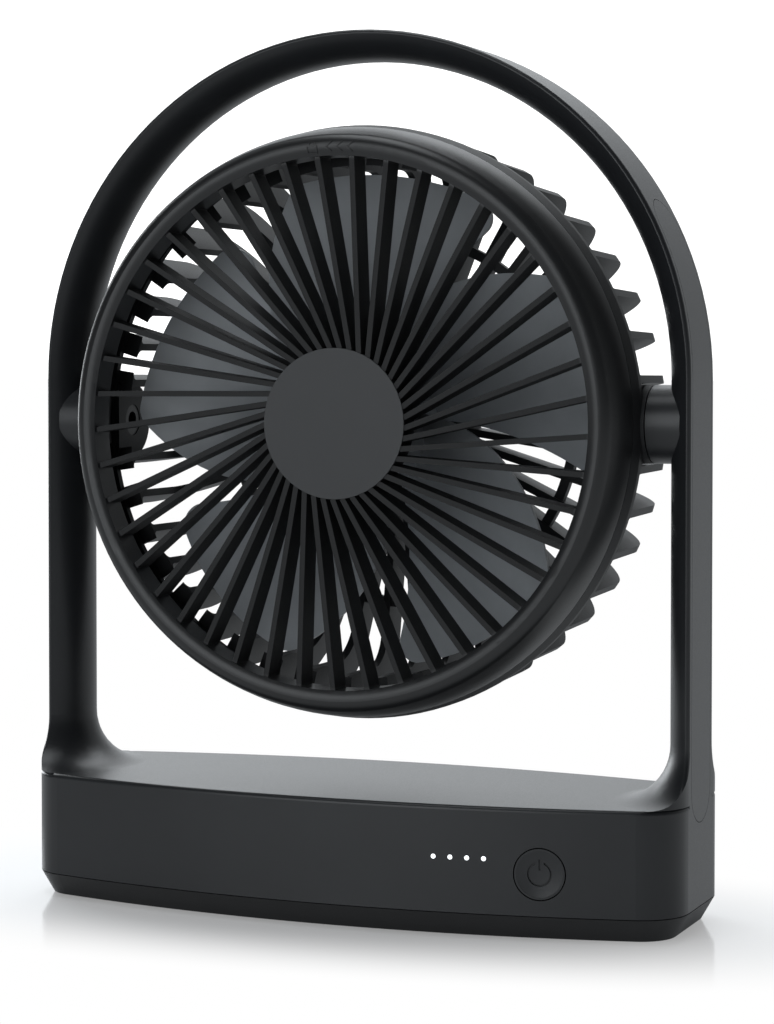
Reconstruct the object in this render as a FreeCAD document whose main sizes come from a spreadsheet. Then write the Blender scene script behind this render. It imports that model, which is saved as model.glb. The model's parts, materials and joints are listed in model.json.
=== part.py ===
import FreeCAD, Part
import math
import os
import re

import Sketcher
from FreeCAD import Placement, Rotation, Vector

# Desk fan: a round head that tilts inside an arch standing on a battery base.
# Frame: origin on the table under the middle of the base, +X to the right seen
# from the front, +Y to the rear, +Z up, in millimetres. The air leaves through
# the front grille, towards -Y.

os.makedirs("parts", exist_ok=True)
doc = FreeCAD.newDocument("desk_fan")
sheet = doc.addObject("Spreadsheet::Sheet", "dims")

DIMENSIONS = (
    # base
    ("half_width", 87.0, "middle to the outer faces of the legs and the base"),
    ("base_top", 32.0, "height of the base's top face"),
    ("seam_height", 6.2, "height of the joint between shell and tray"),
    ("front_depth", 32.5, "middle of the front face to the pivot plane"),
    ("rear_depth", 32.5, "middle of the rear face to the pivot plane"),
    ("front_bow", 325.0, "plan radius of the bowed front face"),
    ("rear_bow", 345.0, "plan radius of the bowed rear face"),
    ("corner_radius", 12.5, "upright corners of the base"),
    ("rim_radius", 1.1, "rounded top edge of the base"),
    ("wall", 2.2, "plastic wall thickness"),
    ("tray_inset", 3.2, "how far the tray's sloping wall runs in at the table"),
    ("tray_floor", 2.4, "height of the inside of the tray"),
    ("foot_height", 0.4, "rubber feet below the tray"),
    ("foot_spacing", 64.0, "feet from the middle, along X"),
    ("foot_row", 12.0, "feet from the middle, along Y"),
    ("post_spacing", 74.0, "tray screws from the middle, along X"),
    ("post_row", 12.5, "tray screws from the middle, along Y"),
    ("screw_radius", 1.2, "self-tapping screws"),
    # arch
    ("arch_centre", 134.2, "height of the centre of the round part of the arch"),
    ("leg_thickness", 7.2, "leg from its flat outer face to its bulging inner face"),
    ("leg_half_depth", 10.8, "half of the leg's front-to-back size"),
    ("leg_edge", 1.0, "small rounding between the leg's flat and bulging faces"),
    ("flare_radius", 13.5, "hollow rounding from the legs into the base's top"),
    ("strip_width", 16.8, "side strip over the wire channel"),
    ("strip_depth", 1.8, "thickness of the side strip"),
    ("strip_bottom", 26.7, "lowest point of the side strip"),
    ("strip_angle", 30.0, "top end of the side strip, above the arch's centre"),
    ("strip_gap", 0.15, "line round the side strip"),
    ("channel_width", 7.0, "wire channel in the leg"),
    ("channel_floor", 81.6, "wire channel's floor from the middle"),
    ("pocket_floor", 80.4, "floor of the round pocket behind a pivot, from the middle"),
    # pivot
    ("pivot_height", 123.1, "height of the tilt axis"),
    ("boss_radius", 9.6, "round bosses at the pivots"),
    ("boss_face", 75.4, "boss's end face from the middle"),
    ("collar_face", 75.1, "end face of the head's collar from the middle"),
    ("bush_radius", 5.5, "outside of the pivot bushes"),
    ("pin_radius", 4.0, "pivot pins"),
    ("pin_clearance", 0.05, "running clearance round the pivot pins"),
    ("pin_bore", 2.2, "wire hole through the pivot pins"),
    ("pin_inner_end", 67.4, "inner end of the pivot pins from the middle"),
    # head
    ("ring_inner", 65.8, "inside of the front ring"),
    ("ring_outer", 73.6, "outside of the front ring at its rear edge"),
    ("rim_outer", 74.4, "outside of the rear guard's rim"),
    ("ring_crest", 25.0, "front of the rounded ring, before the tilt axis"),
    ("spoke_face", 23.3, "front of the spokes, before the tilt axis"),
    ("spoke_depth", 7.0, "front-to-back size of a spoke"),
    ("spoke_width", 1.35, "thickness of a spoke"),
    ("spoke_count", 45, "spokes of the front grille"),
    ("spoke_tangent", 7.3, "radius of the circle that the spokes point along"),
    ("spoke_start", 4.17, "turn of the first spoke"),
    ("disc_radius", 18.56, "flat disc in the middle of the grille"),
    ("seam_front", 13.3, "rear edge of the front ring, before the tilt axis"),
    ("rim_front", 13.0, "front edge of the rear guard, before the tilt axis"),
    ("rim_rear", 6.9, "rear edge of the guard's rim, before the tilt axis"),
    ("cage_inner", 64.5, "inside of the vanes round the impeller"),
    ("cage_outer", 74.4, "outside of the vanes"),
    ("cage_taper", 1.2, "how far the vanes' outside draws in before its corner"),
    ("cage_floor", 21.0, "front of the vanes behind the impeller"),
    ("cage_rear", 30.0, "rear of the vanes"),
    ("cage_corner", 15.0, "rounding of the vanes' outer rear corner"),
    ("cage_fillet", 8.0, "rounding of the hollow round the impeller"),
    ("vane_slots", 42, "vane places round the guard, the two at the pivots unused"),
    ("vane_width", 1.9, "thickness of a vane"),
    ("vane_fillet", 1.9, "hollow rounding between a vane and the rim"),
    ("vane_root", 17.0, "radius where a vane starts, pointing straight out"),
    ("guard_hub", 19.5, "hub of the rear guard"),
    ("brace_radius", 47.7, "thin ring that ties the vanes together"),
    ("brace_width", 2.5, "width of that ring"),
    ("lug_count", 4, "bayonet lugs between the grille and the guard"),
    # impeller and motor
    ("blade_count", 5, "blades of the impeller"),
    ("blade_tip", 62.5, "tip radius of the impeller"),
    ("blade_span", 50.0, "angle that a blade's tip covers"),
    ("blade_spread", 29.0, "extra angle that its root covers"),
    ("blade_sweep", 31.0, "angle that the blade's root is ahead of its tip"),
    ("blade_front", -5.0, "front of a blade, from the tilt axis"),
    ("blade_rear", 9.0, "rear of a blade, from the tilt axis"),
    ("blade_turn", 10.0, "turn of the first blade's tip from the pivot"),
    ("blade_thickness", 1.4, "blade, front to back"),
    ("hub_radius", 16.0, "outside of the impeller's hub"),
    ("can_radius", 14.0, "outside of the motor's rotor can"),
    ("can_wall", 0.8, "wall of the rotor can"),
    ("can_front", -3.0, "front of the rotor can, from the tilt axis"),
    ("can_rear", 10.0, "rear of the rotor can, from the tilt axis"),
    ("magnet_wall", 1.8, "wall of the magnet ring"),
    ("stator_radius", 10.4, "outside of the stator"),
    ("stator_front", 1.8, "front of the stator, from the tilt axis"),
    ("stator_rear", 8.0, "rear of the stator, from the tilt axis"),
    ("stator_teeth", 9, "teeth of the stator"),
    ("tube_radius", 3.8, "outside of the bearing tube"),
    ("motor_board_front", 11.4, "front of the motor's circuit board, from the tilt axis"),
    ("motor_board_thickness", 1.0, "motor's circuit board"),
    ("bearing_radius", 3.0, "outside of the bearings"),
    ("bearing_length", 2.5, "length of a bearing"),
    ("shaft_radius", 1.0, "motor shaft"),
    ("shaft_clearance", 0.03, "running clearance of the shaft in its bearings"),
    # controls
    ("button_place", 55.1, "power button from the middle, along X"),
    ("button_height", 16.3, "height of the power button"),
    ("button_radius", 6.1, "power button"),
    ("button_gap", 0.3, "gap round the power button"),
    ("button_travel", 0.6, "travel of the power button"),
    ("light_place", 29.5, "first charge light from the middle, along X"),
    ("light_pitch", 4.08, "pitch of the charge lights"),
    ("light_count", 4, "charge lights"),
    ("light_height", 19.5, "height of the charge lights"),
    ("light_radius", 0.6, "charge lights"),
    ("socket_height", 15.0, "height of the charging socket"),
    ("socket_width", 8.94, "charging socket's shell, side to side"),
    ("socket_tall", 3.26, "charging socket's shell, top to bottom"),
    # battery
    ("cell_radius", 9.15, "lithium cells"),
    ("cell_length", 65.0, "lithium cells"),
    ("cell_pitch", 19.2, "between the two cells' axes"),
    ("cell_left", -62.0, "left end of the cells, along X"),
    ("cell_middle", -4.0, "middle of the pair of cells, along Y"),
    ("cell_height", 13.0, "height of the cells' axes"),
)
for row, (alias, number, meaning) in enumerate(DIMENSIONS, start=1):
    sheet.set(f"A{row}", meaning)
    sheet.set(f"B{row}", str(number))
    sheet.setAlias(f"B{row}", alias)
doc.recompute()

ALIASES = {alias for alias, _, _ in DIMENSIONS}
X_AXIS, Y_AXIS, Z_AXIS = Vector(1, 0, 0), Vector(0, 1, 0), Vector(0, 0, 1)
parts = []


# ---------------------------------------------------------------- helpers

def bound(text):
    """An expression on the sheet's aliases, as another object writes it."""
    def named(word):
        return "dims." + word.group() if word.group() in ALIASES else word.group()

    return re.sub(r"[a-z_]+", named, str(text))


def value(text):
    """The number that an expression on the sheet's aliases gives now."""
    return float(sheet.evalExpression(bound(text)))


def keep(obj, label):
    """Name a finished sub-part and list it for export."""
    obj.Label = label
    parts.append(obj)
    return obj


def bind(obj, **sizes):
    for name, text in sizes.items():
        obj.setExpression(name, bound(text))


def place(obj, x="0", y="0", z="0", axis=None, angle="0"):
    """Placement with its position bound to the sheet, turned about one axis."""
    if axis is not None:
        obj.Placement = Placement(Vector(), Rotation(axis, value(angle)))
    for name, text in (("x", x), ("y", y), ("z", z)):
        obj.setExpression("Placement.Base." + name, bound(text))
    return obj


def new_body(label):
    return keep(doc.addObject("PartDesign::Body", label), label)


def head_body(label):
    """A body of the head: its own XZ plane is the plane of the tilt axis."""
    return place(new_body(label), z="pivot_height")


def origin_part(body, role):
    return next(item for item in body.Origin.OriginFeatures if item.Role == role)


def new_sketch(body, role, offset="0", turn="0"):
    """A sketch on one of the body's origin planes, moved along its normal."""
    sketch = body.newObject("Sketcher::SketchObject", "sketch")
    sketch.AttachmentSupport = [(origin_part(body, role), "")]
    sketch.MapMode = "FlatFace"
    sketch.AttachmentOffset = Placement(Vector(0, 0, value(offset)), Rotation(Z_AXIS, value(turn)))
    sketch.setExpression("AttachmentOffset.Base.z", bound(offset))
    return sketch


def polygon(sketch, points):
    """A closed outline whose corners are pairs of expressions on the sheet.

    A third entry bends the side after that corner into an arc of that radius:
    positive turns left, negative turns right.
    """
    corners = [Vector(value(point[0]), value(point[1]), 0) for point in points]
    count = len(corners)
    ends = []
    for i, point in enumerate(points):
        start, end = corners[i], corners[(i + 1) % count]
        if len(point) == 2:
            index = sketch.addGeometry(Part.LineSegment(start, end), False)
            ends.append((index, 1, 2))
            continue
        radius = value(point[2])
        chord = end - start
        side = Vector(-chord.y, chord.x, 0).normalize() * math.copysign(1, radius)
        centre = start + chord / 2 + side * math.sqrt(radius ** 2 - chord.Length ** 2 / 4)
        first, last = (start, end) if radius > 0 else (end, start)
        angles = [math.atan2(spot.y - centre.y, spot.x - centre.x) for spot in (first, last)]
        round_edge = Part.ArcOfCircle(Part.Circle(centre, Z_AXIS, abs(radius)), *angles)
        index = sketch.addGeometry(round_edge, False)
        ends.append((index, 1, 2) if radius > 0 else (index, 2, 1))
        number = sketch.addConstraint(Sketcher.Constraint("Radius", index, abs(radius)))
        sketch.setExpression(f"Constraints[{number}]", bound(f"abs({point[2]})"))
    for i in range(count):
        index, _, end = ends[i]
        following, start, _ = ends[(i + 1) % count]
        sketch.addConstraint(Sketcher.Constraint("Coincident", index, end, following, start))
    for (index, start, _), point in zip(ends, points):
        for kind, text in zip(("DistanceX", "DistanceY"), point):
            number = sketch.addConstraint(Sketcher.Constraint(kind, -1, 1, index, start, value(text)))
            sketch.setExpression(f"Constraints[{number}]", bound(text))
    return sketch


def circle(sketch, radius, x="0", y="0"):
    index = sketch.addGeometry(Part.Circle(Vector(value(x), value(y), 0), Z_AXIS, value(radius)), False)
    for kind, text in (("DistanceX", x), ("DistanceY", y)):
        number = sketch.addConstraint(Sketcher.Constraint(kind, -1, 1, index, 3, value(text)))
        sketch.setExpression(f"Constraints[{number}]", bound(text))
    number = sketch.addConstraint(Sketcher.Constraint("Radius", index, value(radius)))
    sketch.setExpression(f"Constraints[{number}]", bound(radius))
    return sketch


def rectangle(sketch, low_x, low_y, high_x, high_y):
    return polygon(sketch, ((low_x, low_y), (high_x, low_y), (high_x, high_y), (low_x, high_y)))


def turned(body, points, kind="Revolution", angle="360"):
    """Turn an outline of (radius, Y) pairs about the body's Y axis."""
    sketch = polygon(new_sketch(body, "XY_Plane"), points)
    feature = body.newObject("PartDesign::" + kind, kind)
    feature.Profile = sketch
    feature.ReferenceAxis = (sketch, ["V_Axis"])
    feature.setExpression("Angle", bound(angle))
    feature.Midplane = True
    doc.recompute()
    return feature


def padded(body, sketch, length, kind="Pad", midplane=False, backwards=False):
    feature = body.newObject("PartDesign::" + kind, kind)
    feature.Profile = sketch
    feature.setExpression("Length", bound(length))
    feature.Midplane = midplane
    feature.Reversed = backwards
    doc.recompute()
    return feature


def ring_of(body, features, count, role="Y_Axis", angle="360"):
    """Repeat features evenly round one of the body's axes."""
    pattern = body.newObject("PartDesign::PolarPattern", "ring")
    pattern.Originals = features
    pattern.Axis = (origin_part(body, role), [""])
    pattern.setExpression("Angle", bound(angle))
    pattern.setExpression("Occurrences", bound(count))
    body.Tip = pattern
    doc.recompute()
    return pattern


def cylinder(radius, height, name="cylinder"):
    obj = doc.addObject("Part::Cylinder", name)
    bind(obj, Radius=radius, Height=height)
    return obj


def box(length, width, height, name="box"):
    """A box centred on its own X and Y, standing on its own XY plane."""
    obj = doc.addObject("Part::Box", name)
    bind(obj, Length=length, Width=width, Height=height)
    return obj


def corner_box(low, high, name="box"):
    """A box between two corners given as expressions."""
    obj = box(*(f"({b}) - ({a})" for a, b in zip(low, high)), name=name)
    return place(obj, *low)


def join(kind, label, members):
    """A compound, fusion or common of members as one sub-part."""
    obj = doc.addObject("Part::" + kind, label)
    setattr(obj, "Links" if kind == "Compound" else "Shapes", members)
    return keep(obj, label)


def cut(base, tool, name="cut"):
    obj = doc.addObject("Part::Cut", name)
    obj.Base, obj.Tool = base, tool
    return obj


def shaped(label, shape):
    """A sub-part whose shape no body or primitive fits."""
    obj = doc.addObject("Part::Feature", label)
    obj.Shape = shape
    return keep(obj, label)


# ---------------------------------------------------------------- stand

def bow_depth(depth, bow, x):
    """Distance from the pivot plane to a bowed face at x."""
    return depth - bow + math.sqrt(bow * bow - x * x)


def base_block(inset, bottom, top):
    """The base's plan, drawn in by inset, as a block between two heights."""
    half = value("half_width") - inset
    ends = {}
    for name, side in (("front", -1), ("rear", 1)):
        depth = value(name + "_depth") - inset
        bow = value(name + "_bow") - inset
        ends[name] = (Vector(-half, side * bow_depth(depth, bow, half), bottom),
                      Vector(0, side * depth, bottom),
                      Vector(half, side * bow_depth(depth, bow, half), bottom))
    front, rear = ends["front"], ends["rear"]
    outline = Part.Wire([Part.Arc(*front).toShape(), Part.makeLine(front[2], rear[2]),
                         Part.Arc(*reversed(rear)).toShape(), Part.makeLine(rear[0], front[0])])
    block = Part.Face(outline).extrude(Vector(0, 0, top - bottom))
    upright = [edge for edge in block.Edges
               if abs(edge.tangentAt(edge.FirstParameter).z) > 0.9]
    return block.makeFillet(max(value("corner_radius") - inset, 1.0), upright)


def leg_section(height, grow=0.0):
    """Flat outer face and bulging inner face of the right leg, as a wire."""
    outer = value("half_width")
    half = value("leg_half_depth") + grow
    edge = value("leg_edge")
    inner = outer - value("leg_thickness") - grow

    def point(x, y):
        return Vector(x, y, height)

    nick = edge * (1 - math.sqrt(0.5))
    return Part.Wire([
        Part.makeLine(point(outer, edge - half), point(outer, half - edge)),
        Part.Arc(point(outer, half - edge), point(outer - nick, half - nick),
                 point(outer - edge, half)).toShape(),
        Part.Arc(point(outer - edge, half), point(inner, 0), point(outer - edge, -half)).toShape(),
        Part.Arc(point(outer - edge, -half), point(outer - nick, nick - half),
                 point(outer, edge - half)).toShape(),
    ])


def mirrored(shape):
    return shape.mirror(Vector(), X_AXIS)


def flare():
    """Hollow rounding that spreads the right leg onto the base's top."""
    radius = value("flare_radius")
    steps = 6
    sections = []
    for step in range(steps + 1):
        turn = math.radians(90 * step / steps)
        rise = radius * (1 - math.cos(turn))
        grow = radius * (1 - math.sin(turn))
        sections.append(leg_section(value("base_top") + rise, grow))
    return Part.makeLoft(sections, True, False)


def arch():
    """The two legs and the half circle that joins them."""
    centre = value("arch_centre")
    start = (value("base_top") + value("seam_height")) / 2
    leg = Part.Face(leg_section(start)).extrude(Vector(0, 0, centre - start))
    top = Part.Face(leg_section(centre)).revolve(Vector(0, 0, centre), -Y_AXIS, 180)
    return leg.fuse([top, mirrored(leg)])


def strip(gap):
    """The right side strip, with gap added all round for its recess."""
    outer = value("half_width")
    half = value("strip_width") / 2 + gap
    inner = outer - value("strip_depth") - gap
    over = outer + (1.0 if gap else 0.0)
    centre = value("arch_centre")
    low = value("strip_bottom") + value("strip_width") / 2
    straight = Part.makeBox(over - inner, 2 * half, centre - low, Vector(inner, -half, low))
    foot = Part.makeCylinder(half, over - inner, Vector(inner, 0, low), X_AXIS)
    tip_turn = value("strip_angle") - math.degrees(value("strip_width") / 2 / outer)
    band = Part.Face(Part.makePolygon([Vector(inner, -half, centre), Vector(over, -half, centre),
                                       Vector(over, half, centre), Vector(inner, half, centre),
                                       Vector(inner, -half, centre)]))
    bent = band.revolve(Vector(0, 0, centre), -Y_AXIS, tip_turn)
    reach = Part.makeCylinder(over, 2 * half, Vector(0, -half, centre), Y_AXIS)
    reach = reach.cut(Part.makeCylinder(inner, 2 * half, Vector(0, -half, centre), Y_AXIS))
    heading = Vector(math.cos(math.radians(tip_turn)), 0, math.sin(math.radians(tip_turn)))
    tip = reach.common(Part.makeCylinder(half, outer, Vector(0, 0, centre) + heading * 20, heading))
    return straight.fuse([foot, bent, tip]).removeSplitter()


def front_place(x):
    """Point on the front face at x and the turn of the face there."""
    bow = value("front_bow")
    y = -bow_depth(value("front_depth"), bow, x)
    return Vector(x, y, 0), math.degrees(math.asin(x / bow))


def button_frame():
    """Placement on the front face at the button: X along the face, Y inwards."""
    bow = value("front_bow")
    x = value("button_place")
    spot = Vector(x, -bow_depth(value("front_depth"), bow, x), 0)
    return Placement(spot, Rotation(Z_AXIS, math.degrees(math.asin(x / bow))))


def face_depth(along):
    """How far the bowed face lies behind the button's plane, along it."""
    bow = value("front_bow")
    return bow - math.sqrt(bow * bow - along * along)


def inward_cylinder(along, height, radius, start, end):
    """A round piece square to the button's face, in the button's frame."""
    piece = Part.makeCylinder(radius, end - start, Vector(along, start, height), Y_AXIS)
    return piece.transformShape(button_frame().toMatrix())


def light_places():
    """The charge lights' places along the face, from the button."""
    tilt = button_frame().Rotation.Angle
    return [(value("light_place") + i * value("light_pitch") - value("button_place")) / math.cos(tilt)
            for i in range(int(value("light_count")))]


CONTROL_POSTS = ((-31.0, 12.5), (-10.4, 24.0))
CONTROL_DEPTH = 9.0
POCKET_RADIUS = 8.2


def slot_block(width, tall, y_start, y_end, height):
    """A rounded slot through the rear wall, along Y, in the middle."""
    block = Part.makeBox(width, y_end - y_start, tall, Vector(-width / 2, y_start, height - tall / 2))
    along = [edge for edge in block.Edges if abs(edge.tangentAt(0).y) > 0.9]
    return block.makeFillet(tall / 2 - 0.01, along)


def frame_housing():
    top = value("base_top")
    wall = value("wall")
    shell = base_block(0, value("seam_height"), top)
    rim = [edge for edge in shell.Edges if edge.BoundBox.ZMin > top - 0.01]
    flares = flare().common(base_block(0, top - 1, top + value("flare_radius") + 1))
    body = shell.makeFillet(value("rim_radius"), rim)
    body = body.fuse([arch(), flares, mirrored(flares)])
    boss = Part.makeCylinder(value("boss_radius"), value("half_width") - 3 - value("boss_face"),
                             Vector(value("boss_face"), 0, value("pivot_height")), X_AXIS)
    body = body.fuse([boss, mirrored(boss)])

    cavity = base_block(wall, value("seam_height"), top - wall)
    half = value("channel_width") / 2
    cover = value("half_width") - value("strip_depth")
    channel = Part.makeBox(cover - value("channel_floor"), 2 * half, value("pivot_height") - top + wall + 1,
                           Vector(value("channel_floor"), -half, top - wall - 1))
    pocket = Part.makeCylinder(POCKET_RADIUS, cover - value("pocket_floor"),
                               Vector(value("pocket_floor"), 0, value("pivot_height")), X_AXIS)
    bore = Part.makeCylinder(value("bush_radius"), cover / 2,
                             Vector(cover / 2, 0, value("pivot_height")), X_AXIS)
    side = [strip(value("strip_gap")), channel, pocket, bore]
    holes = [inward_cylinder(0, value("button_height"),
                             value("button_radius") + value("button_gap"), -1, 2 * wall)]
    holes += [inward_cylinder(x, value("light_height"), value("light_radius"), -1, 2 * wall)
              for x in light_places()]
    holes.append(slot_block(value("socket_width") + 0.5, value("socket_tall") + 0.5,
                            value("rear_depth") - 2 * wall, value("rear_depth") + 1,
                            value("socket_height")))
    body = body.cut([cavity] + side + [mirrored(tool) for tool in side] + holes)
    posts = []
    for x in (-value("post_spacing"), value("post_spacing")):
        for y in (-value("post_row"), value("post_row")):
            post = Part.makeCylinder(3.0, top - wall - value("seam_height"),
                                     Vector(x, y, value("seam_height")))
            pilot = Part.makeCylinder(value("screw_radius"), 12, Vector(x, y, value("seam_height")))
            posts.append(post.cut(pilot))
    posts += [inward_cylinder(x, z, 2.0, face_depth(x) + 1, CONTROL_DEPTH) for x, z in CONTROL_POSTS]
    return body.fuse(posts).removeSplitter()


# The tray closes the base from below; its wall slopes in towards the table.
LIP_HEIGHT = 2.4
TRAY_GAP = 0.2
HEAD_SEAT = 3.2
BOARD_HEIGHT = 6.4
BOARD_THICKNESS = 1.6
BOARD_X = (10.0, 60.0)
BOARD_Y = (-13.0, 21.0)
PILLAR_X = 6.5
PILLAR_Y = 20.0


def four_places(x, y):
    return [(side_x * x, side_y * y) for side_x in (-1, 1) for side_y in (-1, 1)]


def upright(x, y, radius, bottom, top):
    return Part.makeCylinder(radius, top - bottom, Vector(x, y, bottom))


def board_places():
    return [(x, y) for x in (BOARD_X[0] + 3.5, BOARD_X[1] - 3.5)
            for y in (BOARD_Y[0] + 3.5, BOARD_Y[1] - 3.5)]


def socket_underside():
    return value("socket_height") - value("socket_tall") / 2


def bottom_tray():
    wall = value("wall")
    top = value("seam_height") - TRAY_GAP
    bottom = value("foot_height")
    rims = []
    for inset, height in ((0.0, top), (value("tray_inset"), bottom)):
        slab = base_block(inset, height, height + 1)
        rims.append(min(slab.Faces, key=lambda face: face.CenterOfMass.z).OuterWire)
    bowl = Part.makeLoft(rims, True, True)
    lip = base_block(wall + TRAY_GAP, top, top + LIP_HEIGHT)
    hollow = base_block(value("tray_inset") + 0.6, value("tray_floor"), top + LIP_HEIGHT + 1)
    inside_lip = base_block(wall + TRAY_GAP + 1.4, top, top + LIP_HEIGHT + 1)
    tray = bowl.fuse(lip).cut([hollow, inside_lip])
    screws = four_places(value("post_spacing"), value("post_row"))
    tray = tray.fuse([upright(x, y, 3.6, bottom, top) for x, y in screws]
                     + [upright(x, y, 2.4, bottom, BOARD_HEIGHT) for x, y in board_places()]
                     + [upright(side * PILLAR_X, PILLAR_Y, 2.0, bottom, socket_underside() - BOARD_THICKNESS)
                        for side in (-1, 1)])
    holes = [upright(x, y, value("screw_radius") + 0.2, 0, top + 1) for x, y in screws]
    holes += [upright(x, y, 2.4, 0, HEAD_SEAT) for x, y in screws]
    holes += [upright(x, y, 0.9, bottom + 1.2, BOARD_HEIGHT + 1) for x, y in board_places()]
    holes += [upright(x, y, 5.1, 0, bottom + 0.8)
              for x, y in four_places(value("foot_spacing"), value("foot_row"))]
    return tray.cut(holes).removeSplitter()


shaped("frame_housing", frame_housing())
shaped("bottom_tray", bottom_tray())
shaped("side_cover_right", strip(0))
shaped("side_cover_left", mirrored(strip(0)))


def repeated(label, places, make):
    """One sub-part of separate equal solids, one at each place."""
    members = [place(make(), *spot) for spot in places]
    return join("Compound", label, members)


def screw(head_radius, head_height, shank_radius, length, shank_start):
    """A pan-head screw along Z, its head standing on its own origin."""
    head = cylinder(head_radius, head_height, "screw_head")
    shank = place(cylinder(shank_radius, length, "screw_shank"), z=shank_start)
    obj = doc.addObject("Part::Fuse", "screw")
    obj.Base, obj.Tool = head, shank
    return obj


def feet_places():
    return [(f"{a} * foot_spacing", f"{b} * foot_row", "0") for a in (-1, 1) for b in (-1, 1)]


def screw_places():
    return [(f"{a} * post_spacing", f"{b} * post_row", f"{HEAD_SEAT} - 1.6")
            for a in (-1, 1) for b in (-1, 1)]


repeated("rubber_feet", feet_places(), lambda: cylinder("5", "foot_height + 0.8", "foot"))
repeated("tray_screws", screw_places(), lambda: screw("2.2", "1.6", "screw_radius - 0.05", "12.5", "1.6"))


# ---------------------------------------------------------------- battery and boards

cell_rows = [f"cell_middle + ({side}) * cell_pitch / 2" for side in (-1, 1)]
cells = [place(cylinder("cell_radius", "cell_length", "cell"), "cell_left", row, "cell_height", Y_AXIS, "90")
         for row in cell_rows]
join("Compound", "battery_cells", cells)

cradle_block = corner_box(("cell_left + 3", "cell_middle - 14.5", "tray_floor"),
                          ("cell_left + cell_length - 3", "cell_middle + 14.5", "cell_height - 4"), "cradle")
beds = [place(cylinder("cell_radius + 0.1", "cell_length", "bed"),
              "cell_left", row, "cell_height", Y_AXIS, "90") for row in cell_rows]
bed_pair = doc.addObject("Part::MultiFuse", "beds")
bed_pair.Shapes = beds
keep(cut(cradle_block, bed_pair, "battery_cradle"), "battery_cradle")

tab_ends = (("cell_left - 0.3", "cell_left"), ("cell_left + cell_length", "cell_left + cell_length + 0.3"))
tabs = [corner_box((low, "cell_middle - 13", "cell_height - 3.5"),
                   (high, "cell_middle + 13", "cell_height + 3.5"), "tab") for low, high in tab_ends]
join("Compound", "battery_tabs", tabs)

board = corner_box((BOARD_X[0], BOARD_Y[0], BOARD_HEIGHT),
                   (BOARD_X[1], BOARD_Y[1], BOARD_HEIGHT + BOARD_THICKNESS), "board")
board_holes = [place(cylinder("1.1", "3", "hole"), x, y, BOARD_HEIGHT - 1) for x, y in board_places()]
hole_set = doc.addObject("Part::Compound", "holes")
hole_set.Links = board_holes
keep(cut(board, hole_set, "main_circuit_board"), "main_circuit_board")

BOARD_TOP = BOARD_HEIGHT + BOARD_THICKNESS
chips = [corner_box((x, y, BOARD_TOP), (x + long, y + wide, BOARD_TOP + tall), "chip")
         for x, y, long, wide, tall in ((22, -6, 7, 7, 1.0), (34, 6, 7, 7, 4.0), (33, -8, 5, 4, 1.2),
                                        (46, 9, 8, 4, 5.5), (20, 9, 8, 4, 5.5))]
chips.append(place(cylinder("3.2", "8", "capacitor"), "48", "0", BOARD_TOP))
join("Compound", "board_components", chips)
repeated("board_screws", [(x, y, BOARD_TOP) for x, y in board_places()],
         lambda: screw("1.8", "1.2", "0.85", "4.5", "-4.5"))

# The charging socket sits on its own small board on the tray's two pillars.
charge_board = corner_box((-PILLAR_X - 2.5, PILLAR_Y - 3, "socket_height - socket_tall / 2 - 1.6"),
                          (PILLAR_X + 2.5, "rear_depth - 3", "socket_height - socket_tall / 2"),
                          "charge_board")
keep(charge_board, "charge_board")

SOCKET_LENGTH = 7.0
SOCKET_SKIN = 0.3


def usb_socket():
    """Rolled metal shell of the charging socket, open to the rear."""
    rear = value("rear_depth") - 0.3
    height = value("socket_height")
    width, tall = value("socket_width"), value("socket_tall")
    shell = slot_block(width, tall, rear - SOCKET_LENGTH, rear, height)
    inside = slot_block(width - 2 * SOCKET_SKIN, tall - 2 * SOCKET_SKIN,
                        rear - SOCKET_LENGTH + SOCKET_SKIN, rear + 1, height)
    return shell.cut(inside)


shaped("usb_socket", usb_socket())
keep(corner_box((-3.3, "rear_depth - 0.3 - 6.7", "socket_height - 0.35"),
                (3.3, "rear_depth - 1.3", "socket_height + 0.35"), "usb_tongue"), "usb_tongue")


def on_face(shape):
    """Set a shape made in the button's frame onto the front of the base."""
    return shape.transformShape(button_frame().toMatrix())


def control_board():
    return on_face(Part.makeBox(42, BOARD_THICKNESS, 16, Vector(-34, CONTROL_DEPTH, 9.5)))


def tact_switch():
    height = value("button_height")
    body = Part.makeBox(6, 3.2, 6, Vector(-3, CONTROL_DEPTH - 3.2, height - 3))
    plunger = Part.makeCylinder(1.7, 0.7, Vector(0, CONTROL_DEPTH - 3.9, height), Y_AXIS)
    return on_face(body.fuse(plunger))


def power_button():
    """Dished cap with a power sign cut into it, a flange and a stem."""
    radius = value("button_radius")
    height = value("button_height")
    wall = value("wall")
    dish = Part.makeSphere(34.0, Vector(0, 0.55 - 34.0, height))
    cap = Part.makeCylinder(radius, wall + 0.6, Vector(0, 0, height), Y_AXIS)
    cap = cap.cut(Part.makeCylinder(radius - 0.5, 1.0, Vector(0, -0.45, height), Y_AXIS).common(dish))
    flange = Part.makeCylinder(radius + 1.1, 0.9, Vector(0, wall + 0.5, height), Y_AXIS)
    stem = Part.makeCylinder(1.5, 0.6, Vector(0, wall + 1.4, height), Y_AXIS)
    groove = Part.makeCylinder(3.0, 1.2, Vector(0, -0.2, height), Y_AXIS)
    groove = groove.cut(Part.makeCylinder(2.5, 1.2, Vector(0, -0.2, height), Y_AXIS))
    groove = groove.cut(Part.makeBox(2.0, 1.2, 4, Vector(-1.0, -0.2, height + 1)))
    bar = Part.makeBox(0.5, 1.2, 2.6, Vector(-0.25, -0.2, height + 0.9))
    return on_face(cap.fuse([flange, stem]).cut([groove, bar]))


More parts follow.
